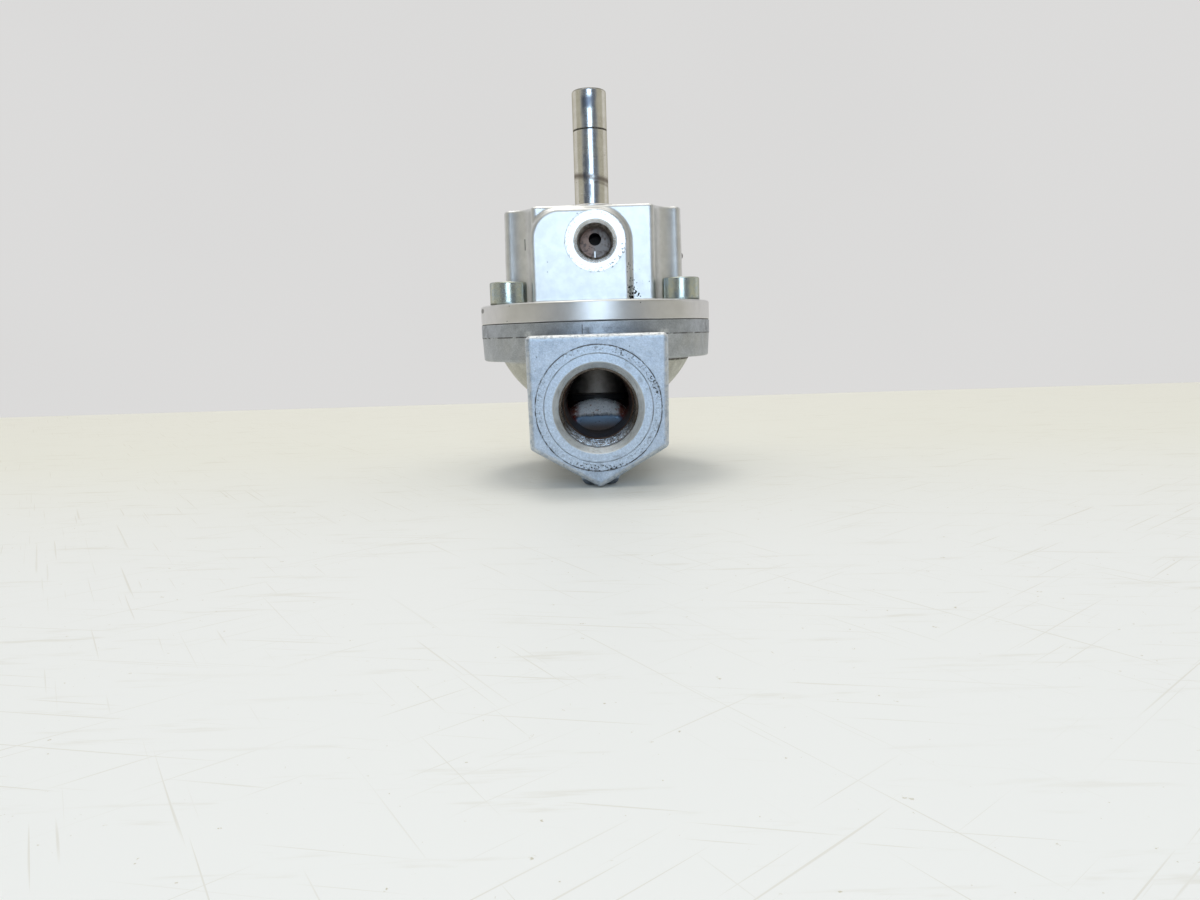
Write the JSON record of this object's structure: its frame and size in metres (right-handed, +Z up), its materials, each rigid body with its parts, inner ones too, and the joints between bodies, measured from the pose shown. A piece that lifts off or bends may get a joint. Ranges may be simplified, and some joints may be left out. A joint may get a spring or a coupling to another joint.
{
  "type": "solenoid poppet valve",
  "caption": "In-line servo-assisted solenoid poppet valve with threaded pipe ports, a bolted round bonnet with a threaded pilot port, and a bare armature tube.",
  "frame": {"origin": "bottom centre of the body, on the surface that the valve stands on", "axes": "+Z up along the armature tube, -Y out of the inlet port and the pilot port, +X to the right seen from the inlet port"},
  "size_m": [0.065, 0.08, 0.105],
  "materials": {
    "body_casting": "raw die-cast aluminium, blue-grey, grainy, worn and dirty at its edges",
    "bonnet_casting": "smooth satin die-cast aluminium, machined joint face",
    "zinc_steel": "bright zinc plate with a faint yellow-green tint",
    "tube_steel": "ground and polished stainless steel",
    "bush_steel": "turned stainless steel",
    "stainless": "turned stainless steel",
    "plunger_steel": "ground magnetic stainless steel",
    "plug_steel": "hardened steel ball",
    "spring_steel": "drawn stainless wire",
    "brass": "turned brass",
    "copper": "drawn copper",
    "piston_metal": "dark brown-grey hard-anodised aluminium",
    "rubber_black": "black nitrile rubber",
    "rubber_red": "red-brown fluorocarbon rubber",
    "guide_plastic": "bronze-filled PTFE"
  },
  "bodies": {
    "housing": {"valve_body": "body_casting", "seat_ring": "stainless", "bonnet": "bonnet_casting", "bonnet_screws": "zinc_steel", "bonnet_oring": "rubber_black", "passage_plug": "plug_steel", "pilot_nozzle": "brass", "armature_tube": "tube_steel", "tube_oring": "rubber_black", "tube_bush": "bush_steel", "pole_piece": "tube_steel", "shading_ring": "copper", "plunger_spring": "spring_steel", "return_spring": "spring_steel"},
    "piston": {"piston": "piston_metal", "piston_seal": "rubber_black", "piston_guide_ring": "guide_plastic", "seat_disc": "rubber_black", "seat_retainer": "stainless", "poppet_screw": "stainless"},
    "plunger": {"plunger": "plunger_steel", "plunger_seal": "rubber_red"}
  },
  "joints": [
    {"name": "piston_lift", "type": "slide", "parent": "housing", "child": "piston", "axis": [0, 0, 1], "range_m": [0, 0.0055], "stiffness_N_per_m": 500, "springref_m": -0.006, "deforming": ["return_spring"]},
    {"name": "plunger_lift", "type": "slide", "parent": "housing", "child": "plunger", "axis": [0, 0, 1], "range_m": [0, 0.0015], "stiffness_N_per_m": 150, "springref_m": -0.003, "deforming": ["plunger_spring"]}
  ]
}
